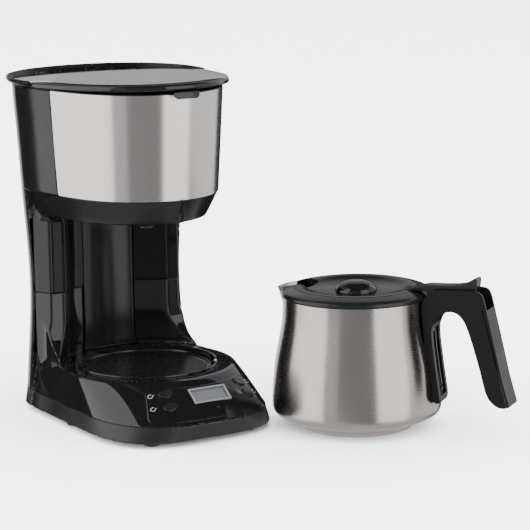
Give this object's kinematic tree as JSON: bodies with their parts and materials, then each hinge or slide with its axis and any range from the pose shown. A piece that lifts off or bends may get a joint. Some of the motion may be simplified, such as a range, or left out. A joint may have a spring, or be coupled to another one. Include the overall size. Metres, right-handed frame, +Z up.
{
  "type": "drip coffee maker",
  "caption": "Drip coffee maker with a hinged lid, round warming plate and sloping control panel, and a steel carafe with hinged lid beside it.",
  "frame": {"origin": "middle of the footprint of machine and carafe together, on the table", "axes": "+Z up; the machine faces -Y; +X is to the right seen from the front, where the carafe stands"},
  "size_m": [0.3544, 0.4432, 0.3367],
  "materials": {
    "gloss_black": "gloss",
    "satin_black": "satin",
    "grey_plastic": "satin",
    "clear_plastic": "gloss",
    "brushed_steel": "brushed",
    "steel": "plain",
    "black_enamel": "enamel",
    "aluminium": "plain",
    "rubber": "matt",
    "silicone": "matt",
    "circuit_board": "satin"
  },
  "bodies": {
    "machine": {"frame_shell": "satin_black", "deck_housing": "gloss_black", "bay_housing": "gloss_black", "head_shell": "satin_black", "head_ring": "satin_black", "steel_band": "brushed_steel", "top_rim": "satin_black", "lid_pin": "steel", "water_tank": "satin_black", "filter_basket": "satin_black", "inner_deck": "satin_black", "shower_head": "grey_plastic", "shower_arm": "grey_plastic", "hot_hose": "silicone", "cold_hose": "silicone", "check_valve": "grey_plastic", "drip_spring": "steel", "drip_seal": "silicone", "plate_ring": "satin_black", "warming_plate": "black_enamel", "heater_tube": "aluminium", "heat_plate": "aluminium", "thermostat": "steel", "thermal_fuse": "silicone", "control_panel": "gloss_black", "display_bezel": "grey_plastic", "display_lens": "clear_plastic", "display_module": "grey_plastic", "control_board": "circuit_board", "led_lens": "clear_plastic", "bottom_cover": "satin_black", "cord_gland": "satin_black", "foot_front_left": "rubber", "foot_front_right": "rubber", "foot_side_left": "rubber", "foot_side_right": "rubber", "foot_back_left": "rubber", "foot_back_right": "rubber", "foot_screw_front_left": "steel", "foot_screw_front_right": "steel", "foot_screw_side_left": "steel", "foot_screw_side_right": "steel", "foot_screw_back_left": "steel", "foot_screw_back_right": "steel"},
    "carafe": {"carafe_body": "brushed_steel", "carafe_collar": "satin_black", "carafe_handle": "satin_black", "handle_cover": "satin_black", "handle_screw": "steel", "carafe_lid_pin": "steel"},
    "carafe_lid": {"carafe_lid": "satin_black", "lid_dome": "gloss_black"},
    "brew_lid": {"brew_lid": "gloss_black", "lid_splash_ring": "satin_black"},
    "drip_valve": {"drip_valve": "satin_black"},
    "button_upper_left": {"button_upper_left": "gloss_black"},
    "button_upper_right": {"button_upper_right": "gloss_black"},
    "button_lower_left": {"button_lower_left": "gloss_black"},
    "button_lower_right": {"button_lower_right": "gloss_black"}
  },
  "joints": [
    {"name": "brew_lid_hinge", "type": "hinge", "parent": "machine", "child": "brew_lid", "pos_m": [-0.078, 0.2045, 0.3296], "axis": [-1, 0, 0], "range_deg": [0, 85]},
    {"name": "carafe_lift", "type": "slide", "parent": "machine", "child": "carafe", "axis": [0, 0, 1], "range_m": [0, 0.15]},
    {"name": "carafe_lid_hinge", "type": "hinge", "parent": "carafe", "child": "carafe_lid", "pos_m": [0.13828, -0.17466, 0.1345], "axis": [0.8171, 0.5764, 0], "range_deg": [0, 50]},
    {"name": "drip_valve_slide", "type": "slide", "parent": "machine", "child": "drip_valve", "axis": [0, 0, 1], "range_m": [0, 0.004], "stiffness_N_per_m": 150, "springref_m": -0.002, "deforming": ["drip_spring"]},
    {"name": "button_upper_left_press", "type": "slide", "parent": "machine", "child": "button_upper_left", "axis": [0.1867, 0.5775, -0.7948], "range_m": [0, 0.001], "stiffness_N_per_m": 400, "springref_m": -0.0005},
    {"name": "button_upper_right_press", "type": "slide", "parent": "machine", "child": "button_upper_right", "axis": [-0.3134, 0.5582, -0.7683], "range_m": [0, 0.001], "stiffness_N_per_m": 400, "springref_m": -0.0005},
    {"name": "button_lower_left_press", "type": "slide", "parent": "machine", "child": "button_lower_left", "axis": [0.1867, 0.5775, -0.7948], "range_m": [0, 0.001], "stiffness_N_per_m": 400, "springref_m": -0.0005},
    {"name": "button_lower_right_press", "type": "slide", "parent": "machine", "child": "button_lower_right", "axis": [-0.347, 0.5513, -0.7587], "range_m": [0, 0.001], "stiffness_N_per_m": 400, "springref_m": -0.0005}
  ]
}
